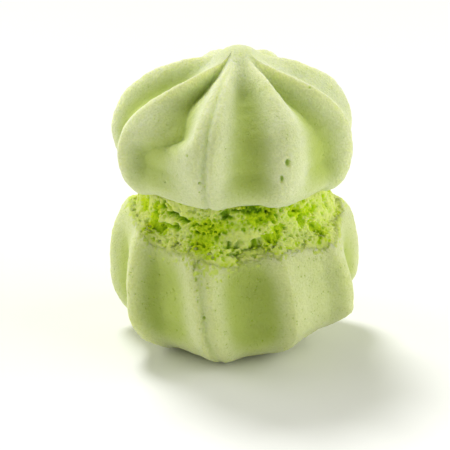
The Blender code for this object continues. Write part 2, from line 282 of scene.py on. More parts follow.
class KissSettings(bpy.types.PropertyGroup):
    """The two piped kisses."""

    relief: FloatProperty(
        name="Relief",
        description="How far the skin's soft lumps stand in and out",
        default=0.00018,
        unit="LENGTH",
    )
    pinholes: IntProperty(
        name="Pinholes",
        description="Small holes in the lower skin; the upper one has half as many",
        default=130,
    )
    crest_color: FloatVectorProperty(
        name="Crest colour",
        description="The pale, dry colour along the ribs",
        default=(0.81, 0.86, 0.55),
        subtype="COLOR",
    )
    # Painted shade: the crest colour made darker and greener, standing in for the dimmer, greener light that
    # reaches the lower kiss.
    lower_crest_shaded_color: FloatVectorProperty(
        name="Lower crest colour",
        description="The same on the lower kiss, whose skin is a little greener",
        default=(0.75, 0.81, 0.42),
        subtype="COLOR",
    )
    torn_color: FloatVectorProperty(
        name="Torn colour",
        description="The crumb that shows where a skin is broken",
        default=(0.64, 0.78, 0.15),
        subtype="COLOR",
    )
    # Painted shade: this darker green stands in for the shade in the hollows between the ribs; the skin's
    # random mottle also leans towards it.
    hollow_shade_color: FloatVectorProperty(
        name="Hollow colour",
        description="The deeper green between the ribs",
        default=(0.49, 0.60, 0.14),
        subtype="COLOR",
    )


class CrumbSettings(bpy.types.PropertyGroup):
    """The open crumb between the kisses."""

    bubbles: IntProperty(
        name="Bubbles",
        description="Bubbles tried for the crumb's surface; most open where it is lime green",
        default=9000,
    )
    deepest: FloatProperty(
        name="Deepest hole",
        description="How far a hole may reach into the crumb",
        default=0.0022,
        unit="LENGTH",
    )
    pale_color: FloatVectorProperty(
        name="Pale crumb",
        description="The dry, broken outer crumb",
        default=(0.69, 0.80, 0.23),
        subtype="COLOR",
    )
    bright_color: FloatVectorProperty(
        name="Bright crumb",
        description="The moist lime-green crumb",
        default=(0.52, 0.73, 0.006),
        subtype="COLOR",
    )
    # Painted shade: this darker green stands in for the shade at the bottom of the holes and in the deep
    # spots.
    deep_shade_color: FloatVectorProperty(
        name="Deep crumb",
        description="The green at the bottom of the holes",
        default=(0.24, 0.44, 0.01),
        subtype="COLOR",
    )


class StageSettings(bpy.types.PropertyGroup):
    """Floor, lights and camera."""

    floor_color: FloatVectorProperty(
        name="Floor colour",
        description="The plain pale floor",
        default=(1.0, 1.0, 1.0),
        subtype="COLOR",
    )
    sun_strength: FloatProperty(
        name="Key light",
        description="The soft light from behind on the left",
        default=1.95,
    )
    left_strength: FloatProperty(
        name="Left light",
        description="Power of the large light on the left",
        default=0.75,
        unit="POWER",
    )
    right_strength: FloatProperty(
        name="Right light",
        description="Power of the large light on the right",
        default=1.15,
        unit="POWER",
    )
    sky_color: FloatVectorProperty(
        name="Room colour",
        description="The colour of the light from all round",
        default=(1.0, 1.0, 0.8),
        subtype="COLOR",
    )
    sky_strength: FloatProperty(
        name="Room light",
        description="The even light from all round",
        default=0.27,
    )
    floor_bounce: FloatProperty(
        name="Floor bounce",
        description="Share of its light that the floor gives back to the cookie",
        default=0.85,
        subtype="FACTOR",
    )
    camera_distance: FloatProperty(
        name="Camera distance",
        description="From the camera to the point it looks at",
        default=0.43,
        unit="LENGTH",
    )
    camera_lens: FloatProperty(
        name="Lens",
        description="Focal length on a 36 mm sensor, in millimetres",
        default=193.3,
    )
    camera_elevation: FloatProperty(
        name="Camera elevation",
        description="How far the camera looks down",
        default=math.radians(21.0),
        subtype="ANGLE",
    )


# ---------------------------------------------------------------- shape of the piped skins


def smooth(x, low, high):
    """0 up to low, 1 from high on, and an easy curve between them."""
    t = np.clip((x - low) / (high - low), 0.0, 1.0)
    return t * t * (3.0 - 2.0 * t)


def lattice(ix, iy, iz, seed):
    """A repeatable value from 0 to 1 for each whole-number cell corner."""
    h = ix.astype(np.uint32) * np.uint32(374761393)
    h = h + iy.astype(np.uint32) * np.uint32(668265263)
    h = h + iz.astype(np.uint32) * np.uint32(2147483647)
    h = h + np.uint32(seed * 1013904223 % 4294967296)
    h = (h ^ (h >> np.uint32(13))) * np.uint32(1274126177)
    h = h ^ (h >> np.uint32(16))
    return h.astype(np.float64) / 4294967295.0


def noise(x, y, z, size, seed):
    """Smooth lumps of about that size, from -1 to 1."""
    total = 0.0
    cells = []
    for value in (x, y, z):
        q = value / size + 500.0
        base = np.floor(q)
        share = q - base
        cells.append((base.astype(np.int64), share * share * (3.0 - 2.0 * share)))
    for dx in (0, 1):
        wx = cells[0][1] if dx else 1.0 - cells[0][1]
        for dy in (0, 1):
            wy = cells[1][1] if dy else 1.0 - cells[1][1]
            for dz in (0, 1):
                wz = cells[2][1] if dz else 1.0 - cells[2][1]
                corner = lattice(cells[0][0] + dx, cells[1][0] + dy, cells[2][0] + dz, seed)
                total = total + wx * wy * wz * corner
    return 2.0 * total - 1.0


def layered(x, y, z, layers, seed):
    """Lumps of several sizes added up; each layer is (strength, size)."""
    total = 0.0
    for number, (strength, size) in enumerate(layers):
        total = total + strength * noise(x, y, z, size, seed + number)
    return total


def columns_of(ribs, steps, narrow_steps):
    """Each mesh column as (rib it follows, place 0 to 1 towards the next)."""
    rows = []
    for i in range(len(ribs)):
        count = narrow_steps if i == DOUBLE_RIB else steps
        for k in range(count):
            even = k / count
            eased = 0.5 - 0.5 * math.cos(math.pi * even)
            rows.append((i, 0.6 * even + 0.4 * eased))
    return rows


def profile(kiss, t):
    """Radius, and height away from the widest ring, along a crest from tip (t 0) to rim (t 1)."""
    foot_t = FOOT_T if kiss["foot"] > 0 else 0.0
    on_foot = kiss["foot"] * np.clip(t / max(foot_t, 1e-9), 0.0, 1.0)
    angle = np.clip((t - foot_t) / (WIDEST_T - foot_t), 0.0, 1.0) * math.pi / 2
    power = 2.0 / kiss["square"]
    dome_r = kiss["foot"] + (kiss["radius"] - kiss["foot"]) * np.sin(angle) ** power
    dome_r = np.where(t < foot_t, on_foot, dome_r)
    dome_h = kiss["dome"] * np.clip(np.cos(angle), 0.0, 1.0) ** power
    dome_h = dome_h + kiss["tip"] * np.exp(-((dome_r / kiss["tip_width"]) ** 2))
    turn = np.clip((t - WIDEST_T) / (1.0 - WIDEST_T), 0.0, 1.0) * CURL_TURN
    curl_r = kiss["curl_radius"] + (kiss["radius"] - kiss["curl_radius"]) * np.cos(turn)
    curl_h = -kiss["curl"] * np.sin(turn)
    above = t <= WIDEST_T
    return np.where(above, dome_r, curl_r), np.where(above, dome_h, curl_h)


def profile_normal(kiss, t):
    """Radius and height of the unit normal that points out of the profile."""
    step = 1e-3
    r0, h0 = profile(kiss, np.clip(t - step, 0.0, 1.0))
    r1, h1 = profile(kiss, np.clip(t + step, 0.0, 1.0))
    length = np.maximum(np.hypot(r1 - r0, h1 - h0), 1e-9)
    return -(h1 - h0) / length, (r1 - r0) / length


def hollow_share(kiss, r, h):
    """How much of the full hollow depth there is at this radius and height."""
    share = smooth(r, kiss["hollow_from"], kiss["hollow_full"])
    share = share * (1.0 - kiss["dome_ease"] * smooth(h, 0.35 * kiss["dome"], 0.95 * kiss["dome"]))
    return share * (1.0 - kiss["curl_ease"] * smooth(-h, 0.25 * kiss["curl"], kiss["curl"]))


def turned(a, b, share):
    """The angle a share of the way from a to b in degrees, the short way round."""
    return a + ((b - a + 180.0) % 360.0 - 180.0) * share


def base_z(kiss):
    """Height of the kiss's rim, before it is tilted."""
    return kiss["widest_z"] - kiss["up"] * kiss["curl"] * math.sin(CURL_TURN)


def tilted(kiss, y, z):
    """Leans a point of the kiss back about the middle of its base."""
    base = base_z(kiss)
    sine, cosine = math.sin(kiss["tilt"]), math.cos(kiss["tilt"])
    return y * cosine + (z - base) * sine, base + (z - base) * cosine - y * sine


def scoop(past):
    """Depth 0 to 1 across half a hollow, from the rounded edge of the crest down an arc to the bottom."""
    past = past + np.sqrt(past**2 + ARRIS_SOFT**2)
    past = past / (1.0 + math.sqrt(1.0 + ARRIS_SOFT**2))
    edge = math.sqrt(SCOOP_ROUND**2 - 1.0)
    return (np.sqrt(SCOOP_ROUND**2 - (1.0 - past) ** 2) - edge) / (SCOOP_ROUND - edge)


def skin_point(kiss, t, rib, place, sink=0.0):
    """(x, y, z, angle, how much painted shade the hollow gets) at t along the profile, at a place between two
    ribs.
    """
    near = np.array(kiss["ribs"])[rib]
    far = np.array(kiss["ribs"])[(rib + 1) % len(kiss["ribs"])]
    at_tip = near[..., TIP_ANGLE] + ((far[..., TIP_ANGLE] - near[..., TIP_ANGLE]) % 360.0) * place
    at_rim = near[..., RIM_ANGLE] + ((far[..., RIM_ANGLE] - near[..., RIM_ANGLE]) % 360.0) * place
    angle = np.radians(turned(at_tip, at_rim, smooth(t, 0.0, kiss["turned_by"])))
    hollow_at = near[..., TIP_PLACE] + (near[..., RIM_PLACE] - near[..., TIP_PLACE]) * t
    swing = np.exp(-(((t - 0.46) / np.where(t < 0.46, 0.2, 0.09)) ** 2))
    hollow_at = hollow_at + near[..., SWING] * swing
    hollow_deep = near[..., TIP_DEPTH] + (near[..., RIM_DEPTH] - near[..., TIP_DEPTH]) * t
    gap = (far[..., RIM_ANGLE] - near[..., RIM_ANGLE]) % 360.0
    before = place <= hollow_at
    side = np.where(before, hollow_at, 1.0 - hollow_at)
    from_crest = np.where(before, place, 1.0 - place) / side
    arris = np.minimum(np.where(before, near[..., CREST_WIDTH], far[..., CREST_WIDTH]) / (gap * side), 0.8)
    top = scoop(-arris / (1.0 - arris))
    past = (from_crest - arris) / (1.0 - arris)
    deep = (scoop(past) - top) / (1.0 - top)
    sharp = near[..., SHARPNESS] * (1.0 - smooth(t, 0.45, 0.6))
    deep = deep + sharp * (np.clip(past, 0.0, 1.0) - deep)
    r, h = profile(kiss, t)
    out_r, out_h = profile_normal(kiss, t)
    hollow = hollow_share(kiss, r, h) * deep
    depth = kiss["hollow"] * hollow * hollow_deep + sink
    reach = near[..., REACH] + (far[..., REACH] - near[..., REACH]) * smooth(place, 0.0, 1.0)
    radius = np.maximum(r - out_r * depth, 0.0) * (1.0 + (reach - 1.0) * smooth(r, 3.0, 14.0))
    height = h - out_h * depth
    lean = kiss["lean_x"] * smooth(height, 0.0, kiss["dome"])
    x = radius * np.sin(angle) + lean
    y = -radius * np.cos(angle)
    z = kiss["widest_z"] + kiss["up"] * height
    low = smooth(kiss["widest_z"] - z, 0.0, kiss["dome"])
    z = z + kiss["lift"] * low * smooth(0.97 * x - 0.2 * y, 6.0, 22.0)
    y, z = tilted(kiss, y, z)
    return x, y, z, angle, hollow * hollow_deep**2


def turned_to_half(angle):
    """The same angle between minus and plus half a turn."""
    return (angle + math.pi) % (2.0 * math.pi) - math.pi


def near_turn(angle, degrees, width):
    """1 at that many degrees from the front, easing to 0 over about the width."""
    return np.exp(-(((np.degrees(turned_to_half(angle)) - degrees) / width) ** 2))


def lower_end(angle):
    """How far along the profile the lower kiss's skin reaches at this angle, with a ragged edge."""
    away = np.abs(turned_to_half(angle - OPEN_MIDDLE))
    end = OPEN_T + (1.0 - OPEN_T) * smooth(away, OPEN_FROM, OPEN_TO)
    end = end - SAG_T * near_turn(angle, SAG_AT, SAG_WIDTH)
    x, y = 18.0 * np.sin(angle), 18.0 * np.cos(angle)
    return np.minimum(end + layered(x, y, np.zeros_like(x), RAGGED_EDGE, SEED), 1.0)


def upper_base_z(y):
    """Height of the upper kiss's flat base, which is tilted with it."""
    return base_z(UPPER) - y * math.tan(UPPER["tilt"])


# ---------------------------------------------------------------- meshes


def wrapped_mesh(name, points, masks):
    """A sheet of quads wrapped round the grid of points [ring, column, xyz], welded at its seam and poles."""
    rings, columns = points.shape[0] - 1, points.shape[1]
    bm = bmesh.new()
    bmesh.ops.create_grid(bm, x_segments=columns, y_segments=rings, size=1.0)
    mesh = bpy.data.meshes.new(name)
    bm.to_mesh(mesh)
    bm.free()
    flat = np.empty(len(mesh.vertices) * 3)
    mesh.vertices.foreach_get("co", flat)
    flat = flat.reshape(-1, 3)
    column = np.round((flat[:, 0] + 1.0) / 2.0 * columns).astype(int) % columns
    ring = np.round((flat[:, 1] + 1.0) / 2.0 * rings).astype(int)
    mesh.vertices.foreach_set("co", points[ring, column].ravel())
    for label, mask in masks.items():
        layer = mesh.attributes.new(label, "FLOAT", "POINT")
        layer.data.foreach_set("value", mask[ring, column].astype(np.float32))
    bm = bmesh.new()
    bm.from_mesh(mesh)
    bmesh.ops.remove_doubles(bm, verts=bm.verts, dist=WELD)
    bmesh.ops.recalc_face_normals(bm, faces=bm.faces)
    if bm.calc_volume(signed=True) < 0:
        bmesh.ops.reverse_faces(bm, faces=bm.faces)
    bm.to_mesh(mesh)
    bm.free()
    return mesh


def outward(points):
    """Unit normals of a grid of points [ring, column, xyz] that closes round its columns."""
    along = np.gradient(points, axis=0)
    across = np.roll(points, -1, axis=1) - np.roll(points, 1, axis=1)
    normal = np.cross(along, across)
    normal = normal / np.maximum(np.linalg.norm(normal, axis=2, keepdims=True), 1e-12)
    middle = points.mean(axis=(0, 1))
    return normal if (normal * (points - middle)).sum() > 0 else -normal


def finished_piece(name, points, masks, node, material):
    """Makes the grid a mesh, inside the box of the solids, and hangs the piece on the frame."""
    placed = (points + np.array([AXIS_X, AXIS_Y, 0.0])) * MM
    placed = np.clip(placed, *(np.array(corner) for corner in CAD_BOX))
    placed[0] = placed[0].mean(axis=0)
    placed[-1] = placed[-1].mean(axis=0)
    mesh = wrapped_mesh(name, placed, masks)
    mesh.polygons.foreach_set("use_smooth", np.ones(len(mesh.polygons), dtype=bool))
    mesh.materials.append(material)
    mesh.update()
    piece = bpy.data.objects.new(name, mesh)
    bpy.context.scene.collection.objects.link(piece)
    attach(piece, "root")
    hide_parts(node)
    return piece


def sink_pore(points, depth, pore_at, radius, deep, mask, taller=1.0):
    """Adds one rounded pore to the depth grid, round the grid point pore_at."""
    off = (points - points[pore_at]) * np.array([1.0, 1.0, 1.0 / taller])
    away = np.linalg.norm(off, axis=2) / radius
    inside = away < 1.3
    shape = np.clip(1.0 - away[inside] ** 3 / 1.4, 0.0, 1.0)
    depth[inside] = np.maximum(depth[inside], deep * shape)
    mask[inside] = np.maximum(mask[inside], shape)


def nearest(points, turn, angle, height):
    """The grid index nearest to that turn in degrees and that height; angle is the grid's own."""
    off = turned_to_half(angle - math.radians(turn))
    radius = np.hypot(points[..., 0], points[..., 1])
    miss = (off * radius) ** 2 + (points[..., 2] - height) ** 2
    return np.unravel_index(np.argmin(miss), miss.shape)


def kiss_grid(kiss):
    """(points, angle, hollow) of a kiss's skin and base, as grids [ring, column]."""
    steps = columns_of(kiss["ribs"], RIB_COLUMNS, NARROW_COLUMNS)
    rib = np.array([s[0] for s in steps])[None, :]
    place = np.array([s[1] for s in steps])[None, :]
    ring = np.arange(SKIN_RINGS + BASE_RINGS + 1)[:, None]
    end = np.ones_like(place)
    if kiss is LOWER:
        end = lower_end(skin_point(kiss, end, rib, place)[3])
    t = np.clip(ring / SKIN_RINGS, 0.0, 1.0) * end
    x, y, z, angle, hollow = skin_point(kiss, t, rib, place)
    return np.stack([x, y, z], axis=2), angle, hollow


def close_base(kiss, points):
    """Runs the last rings in across the base."""
    ring = np.arange(SKIN_RINGS + BASE_RINGS + 1)[:, None]
    inward = np.clip((ring - SKIN_RINGS) / BASE_RINGS, 0.0, 1.0)
    rim = points[SKIN_RINGS]
    points[SKIN_RINGS:, :, 0] = rim[None, :, 0] * (1.0 - inward[SKIN_RINGS:])
    points[SKIN_RINGS:, :, 1] = rim[None, :, 1] * (1.0 - inward[SKIN_RINGS:])
    if kiss is UPPER:
        points[SKIN_RINGS + 1 :, :, 2] = upper_base_z(points[SKIN_RINGS + 1 :, :, 1])
    else:
        points[SKIN_RINGS:, :, 2] = rim[None, :, 2] + (SEAT_Z - rim[None, :, 2]) * inward[SKIN_RINGS:]


def crumbled_edge(points, angle, ring):
    """Where the lower skin has crumbled away along its open edge, 0 to 1."""
    x, y, z = points[..., 0], points[..., 1], points[..., 2]
    reach = CRUMBLED_RINGS + CRUMBLED_MORE * near_turn(angle, CRUMBLED_AT, CRUMBLED_WIDTH)
    near_edge = smooth(ring, SKIN_RINGS - reach, SKIN_RINGS)
    patches = layered(x, y, z, CRUMBLED_PATCHES, SEED + 70)
    return smooth(patches + 1.5 * near_edge, 0.8, 1.2)


def skin_pores(points, angle, pores, pinholes, seed):
    """(depth, mask) of a skin's own pores and of its scattered pinholes."""
    depth, mask = np.zeros(points.shape[:2]), np.zeros(points.shape[:2])
    for turn, height, radius, deep, taller in pores:
        sink_pore(points, depth, nearest(points, turn, angle, height), radius, deep, mask, taller)
    chance = np.random.default_rng(seed)
    for _ in range(pinholes):
        at = (chance.integers(12, SKIN_RINGS - 8), chance.integers(0, points.shape[1]))
        radius = PINHOLE_RADIUS + PINHOLE_SPREAD * chance.random() ** 3
        sink_pore(points, depth, at, radius, PINHOLE_DEPTH * radius, mask)
    return depth, mask


def make_kiss(kiss, node, pores, settings, material):
    """One piped kiss: its skin with lumps, pores and pinholes, and its base."""
    points, angle, hollow = kiss_grid(kiss)
    x, y, z = points[..., 0], points[..., 1], points[..., 2]
    seed = SEED + 10 * kiss["up"] + 20
    normal = outward(points)
    ring = np.arange(points.shape[0])[:, None]
    on_skin = smooth(ring, 1, 8) * (1.0 - smooth(ring, SKIN_RINGS - 3, SKIN_RINGS + 1))
    relief = settings.relief / MM
    lumps = layered(x, y, z, [(share * relief, size) for share, size in SKIN_LUMPS], seed)
    pinholes = settings.pinholes if kiss is LOWER else settings.pinholes // 2
    depth, pore_mask = skin_pores(points, angle, pores, pinholes, seed)
    torn = np.zeros_like(x)
    if kiss is LOWER:
        torn = crumbled_edge(points, angle, ring)
        depth = depth + CRUMBLED_DEPTH * torn
        dip = 0.7 + 0.5 * noise(x, y, z, 0.5, SEED + 72)
        dip = dip * smooth(ring, SKIN_RINGS - DIP_RINGS, SKIN_RINGS)
        torn = np.maximum(torn, smooth(dip, 0.0, 0.15))
        points = points - normal * dip[..., None]
    else:
        hollow = hollow + 0.25 * smooth(ring / SKIN_RINGS, 0.65, 0.85)  # painted shade under the rim: the hollow mask grows there, so the skin turns a darker green
    points = points + normal * ((lumps - depth) * on_skin)[..., None]
    points[..., 2] = np.maximum(points[..., 2], 0.0)  # never under the floor
    close_base(kiss, points)
    # The hollow mask carries the painted shade of the hollows, and on the upper kiss the painted shade under
    # its rim.
    masks = {"hollow": np.clip(hollow, 0.0, 1.0), "pore": pore_mask, "torn": torn}
    name = node.replace("meringue", "kiss")
    return finished_piece(name, points, masks, node, material)


def crumb_grid():
    """The crumb's side before any bubble breaks it, from behind the lower skin up to the upper base."""
    columns = columns_of(LOWER_RIBS, CRUMB_COLUMNS, CRUMB_NARROW_COLUMNS)
    rib = np.array([c[0] for c in columns])[None, :]
    place = np.array([c[1] for c in columns])[None, :]
    ones = np.ones_like(place)
    end = lower_end(skin_point(LOWER, ones, rib, place)[3])
    start = end - UNDER_SKIN
    rise = (np.arange(CRUMB_SIDE_RINGS + 1) / CRUMB_SIDE_RINGS)[:, None]
    hidden = 0.5 * UNDER_SKIN
    low = np.clip(rise / ON_LOWER, 0.0, 1.0)
    t = start + hidden * np.clip(low / HIDDEN_RINGS, 0.0, 1.0)
    t = t + (1.0 - start - hidden) * np.clip((low - HIDDEN_RINGS) / (1.0 - HIDDEN_RINGS), 0.0, 1.0)
    sink = CRUMB_SINK + HIDDEN_SINK * (1.0 - smooth(t - start, 0.0, 0.5 * hidden))
    x, y, z, angle, _ = skin_point(LOWER, t, rib, place, sink)
    rim_x, rim_y, rim_z, rim_angle, _ = skin_point(LOWER, ones, rib, place, RIM_SINK)
    climb = np.clip((rise - ON_LOWER) / (1.0 - ON_LOWER), 0.0, 1.0)
    round_x, round_y = MIDDLE_RADIUS * np.sin(rim_angle), -MIDDLE_RADIUS * np.cos(rim_angle)
    ease = smooth(climb, 0.0, 1.0)
    above = rise > ON_LOWER
    x = np.where(above, rim_x + (round_x - rim_x) * ease, x)
    y = np.where(above, rim_y + (round_y - rim_y) * ease, y)
    z = np.where(above, rim_z + (upper_base_z(round_y) - rim_z) * climb, z)
    return np.stack([x, y, z], axis=2), np.where(above, rim_angle, angle)


def spot_fields(points, angle):
    """(depth, lime, deep green as painted shade) that the named spots give, with ragged outlines."""
    x, y, z = points[..., 0], points[..., 1], points[..., 2]
    angle = angle + 0.035 * noise(x, y, z, 0.9, SEED + 60) + 0.02 * noise(x, y, z, 0.4, SEED + 61)
    height = z + 0.5 * noise(x, y, z, 0.9, SEED + 62) + 0.3 * noise(x, y, z, 0.4, SEED + 63)
    depth, lime, green = np.zeros_like(z), np.zeros_like(z), np.zeros_like(z)
    for centre, middle, wide, tall, deep, lime_here, shade_here in CRUMB_SPOTS:
        off = turned_to_half(angle - math.radians(centre))
        away = (off * MIDDLE_RADIUS / wide) ** 2 + ((height - middle) / tall) ** 2
        share = np.exp(-(away**1.5))
        depth = depth + deep * share
        lime = lime + lime_here * share
        # Painted shade: each spot's deep green darkens its deep recess.
        green = np.maximum(green, shade_here * share)
    return depth, lime, green


def carve(points, inward, depth, at, lift, radius):
    """Opens one bubble at a grid point: a point inside it moves inwards to the bubble's far wall."""
    centre = points[at] + inward[at] * (depth[at] + lift)
    rows = slice(max(at[0] - BUBBLE_RINGS, 0), at[0] + BUBBLE_RINGS)
    off = points[at[0]] - points[at]
    near = np.where(np.abs(off[:, 0]) + np.abs(off[:, 1]) < 0.5 + 2.0 * radius)[0]
    into = inward[rows, near]
    to_centre = centre - points[rows, near] - into * depth[rows, near, None]
    away = (to_centre**2).sum(axis=2)
    inside = away < radius**2
    along = (to_centre * into).sum(axis=2)
    reach = along + np.sqrt(np.maximum(along**2 - away + radius**2, 0.0))
    depth[rows, near] += np.where(inside, reach, 0.0)


def open_bubbles(settings, points, angle, inward, whole, lime):
    """The depth grid once the bubbles have opened; most of them open where the crumb is lime green."""
    depth = whole.copy()
    chance = np.random.default_rng(SEED)
    columns = np.argsort(angle[0])
    turns = angle[0][columns]
    for _ in range(settings.bubbles):
        ring = chance.integers(0, points.shape[0])
        turn = turns[0] + chance.random() * (turns[-1] - turns[0])
        at = (ring, columns[min(np.searchsorted(turns, turn), columns.size - 1)])
        if chance.random() > max(BUBBLE_CHANCE, BUBBLE_CHANCE + LIME_CHANCE * lime[at]):
            continue
        radius = BUBBLE_RADIUS + BUBBLE_SPREAD * chance.random() ** 3
        carve(points, inward, depth, at, (chance.random() - 0.45) * radius, radius)
    return np.minimum(depth, settings.deepest / MM)


def close_crumb(side):
    """Runs the crumb in to the axis at both ends: its seat below, and the upper kiss's base above."""
    first, last = side[0][None], side[-1][None]
    share = (np.arange(CRUMB_END_RINGS) / CRUMB_END_RINGS)[:, None, None]
    seat = first * share
    seat[..., 2] = SEAT_Z + (first[..., 2] - SEAT_Z) * share[..., 0]
    top = last * (1.0 - (share + 1.0 / CRUMB_END_RINGS))
    top[..., 2] = upper_base_z(top[..., 1])
    return np.concatenate([seat, side, top], axis=0)


def make_crumb(settings, material):
    """The open crumb: rough all over, with spots and bubbles sunk into its side."""
    points, angle = crumb_grid()
    x, y, z = points[..., 0], points[..., 1], points[..., 2]
    inward = -outward(points)
    rough = 0.5 + 0.5 * noise(x, y, z, 1.7, SEED + 50)
    rough = 0.35 * rough + 0.16 * noise(x, y, z, 0.75, SEED + 51) + 0.13 * noise(x, y, z, 0.4, SEED + 52)
    spots, lime, green = spot_fields(points, angle)
    whole = np.maximum(rough, 0.0) + spots
    depth = open_bubbles(settings, points, angle, inward, whole, lime)
    pit = depth - whole
    ring = np.arange(points.shape[0])[:, None]
    flush = 0.35 + 0.65 * smooth(ring, 10, 36)  # the crumb is shallower near the lower skin
    depth = depth * np.clip(flush + smooth(spots, 0.3, 0.8), 0.0, 1.0) * smooth(ring, 0, 4)
    opened = smooth(pit, 0.06, 0.35)
    # Painted shade: the deep mask darkens the crumb where it is carved deeper, in opened pits of lime crumb,
    # and in the listed deep spots.
    deep = np.maximum(green, smooth(depth, 0.9, 2.2))
    deep = np.maximum(deep, 0.5 * opened * np.clip(lime, 0.0, 1.0))
    lime = 0.85 * lime + 0.35 * opened + 0.3 * noise(x, y, z, 0.38, SEED + 53)
    lime = lime + 0.3 * noise(x, y, z, 1.6, SEED + 54) + 0.08
    grid = close_crumb(points + inward * depth[..., None])
    ends = ((CRUMB_END_RINGS, CRUMB_END_RINGS), (0, 0))
    masks = {
        "lime": np.pad(smooth(lime, 0.0, 0.62), ends, mode="edge"),
        "deep": np.pad(smooth(deep, 0.2, 0.95), ends, mode="edge"),
    }
    return finished_piece("crumb", grid, masks, "crumb_layer", material)


# ---------------------------------------------------------------- materials


def add_node(tree, kind, at, **values):
    """A new node at that place in the tree, with those settings."""
    node = tree.nodes.new(kind)
    node.location = at
    for key, value in values.items():
        setattr(node, key, value)
    return node


def foam_group():
    """Dried foam: soft mottling, tiny pinholes and a fine powdery height. Built once."""
    if "dried_foam" in bpy.data.node_groups:
        return bpy.data.node_groups["dried_foam"]
    group = bpy.data.node_groups.new("dried_foam", "ShaderNodeTree")
    face = group.interface
    face.new_socket("Vector", in_out="INPUT", socket_type="NodeSocketVector")
    face.new_socket("Grain", in_out="INPUT", socket_type="NodeSocketFloat")
    face.new_socket("Hole Size", in_out="INPUT", socket_type="NodeSocketFloat")
    for label in ("Mottle", "Holes", "Powder", "Height"):
        face.new_socket(label, in_out="OUTPUT", socket_type="NodeSocketFloat")
    source = add_node(group, "NodeGroupInput", (-900, 0))
    result = add_node(group, "NodeGroupOutput", (700, 0))
    mottle = add_node(group, "ShaderNodeTexNoise", (-600, 300))
    mottle.inputs["Scale"].default_value = 160.0
    mottle.inputs["Detail"].default_value = 5.0
    powder = add_node(group, "ShaderNodeTexNoise", (-600, 0))
    powder.inputs["Scale"].default_value = 2600.0
    powder.inputs["Detail"].default_value = 3.0
    holes = add_node(group, "ShaderNodeTexVoronoi", (-600, -300))
    holes.inputs["Scale"].default_value = 1100.0
    patch = add_node(group, "ShaderNodeTexNoise", (-600, -600))
    patch.inputs["Scale"].default_value = 420.0
    for node in (mottle, powder, holes, patch):
        group.links.new(source.outputs["Vector"], node.inputs["Vector"])
    reach = add_node(group, "ShaderNodeMath", (-380, -520), operation="MULTIPLY")
    group.links.new(patch.outputs["Fac"], reach.inputs[0])
    group.links.new(source.outputs["Hole Size"], reach.inputs[1])
    pit = add_node(group, "ShaderNodeMapRange", (-160, -300), interpolation_type="SMOOTHSTEP")
    group.links.new(holes.outputs["Distance"], pit.inputs["Value"])
    group.links.new(reach.outputs[0], pit.inputs["From Max"])
    pit.inputs["From Min"].default_value = 0.0
    pit.inputs["To Min"].default_value = 1.0
    pit.inputs["To Max"].default_value = 0.0
    grain = add_node(group, "ShaderNodeMath", (-160, 0), operation="MULTIPLY")
    group.links.new(powder.outputs["Fac"], grain.inputs[0])
    group.links.new(source.outputs["Grain"], grain.inputs[1])
    height = add_node(group, "ShaderNodeMath", (120, -100), operation="SUBTRACT")
    group.links.new(grain.outputs[0], height.inputs[0])
    group.links.new(pit.outputs[0], height.inputs[1])
    group.links.new(mottle.outputs["Fac"], result.inputs["Mottle"])
    group.links.new(pit.outputs[0], result.inputs["Holes"])
    group.links.new(powder.outputs["Fac"], result.inputs["Powder"])
    group.links.new(height.outputs[0], result.inputs["Height"])
    return group


def mix_color(tree, at, factor, a, b):
    """A Mix node of two colours; each may be a socket or a plain colour."""
    node = add_node(tree, "ShaderNodeMix", at, data_type="RGBA")
    tree.links.new(factor, node.inputs["Factor"])
    for value, socket in ((a, node.inputs["A"]), (b, node.inputs["B"])):
        if isinstance(value, bpy.types.NodeSocket):
            tree.links.new(value, socket)
        else:
            socket.default_value = (*value, 1.0)
    return node.outputs["Result"]


def remap(tree, at, socket, low, high, to_low, to_high):
    """The socket's value, eased from low..high to to_low..to_high."""
    node = add_node(tree, "ShaderNodeMapRange", at, interpolation_type="SMOOTHSTEP")
    tree.links.new(socket, node.inputs["Value"])
    node.inputs["From Min"].default_value = low
    node.inputs["From Max"].default_value = high
    node.inputs["To Min"].default_value = to_low
    node.inputs["To Max"].default_value = to_high
    return node.outputs["Result"]


def start_material(name, grain, hole_size):
    """A material with the dried foam group placed in it: (material, tree, shader, group node)."""
    material = bpy.data.materials.new(name)
    material.use_nodes = True
    tree = material.node_tree
    shader = tree.nodes["Principled BSDF"]
    shader.location = (900, 0)
    where = add_node(tree, "ShaderNodeTexCoord", (-700, 0))
    foam = add_node(tree, "ShaderNodeGroup", (-450, 0), node_tree=foam_group())
    tree.links.new(where.outputs["Object"], foam.inputs["Vector"])
    foam.inputs["Grain"].default_value = grain
    foam.inputs["Hole Size"].default_value = hole_size
    return material, tree, shader, foam


def add_bump(tree, foam, shader, strength, distance):
    """Raises the foam's fine height on the surface."""
    bump = add_node(tree, "ShaderNodeBump", (600, -200))
    bump.inputs["Strength"].default_value = strength
    bump.inputs["Distance"].default_value = distance
    tree.links.new(foam.outputs["Height"], bump.inputs["Height"])
    tree.links.new(bump.outputs["Normal"], shader.inputs["Normal"])


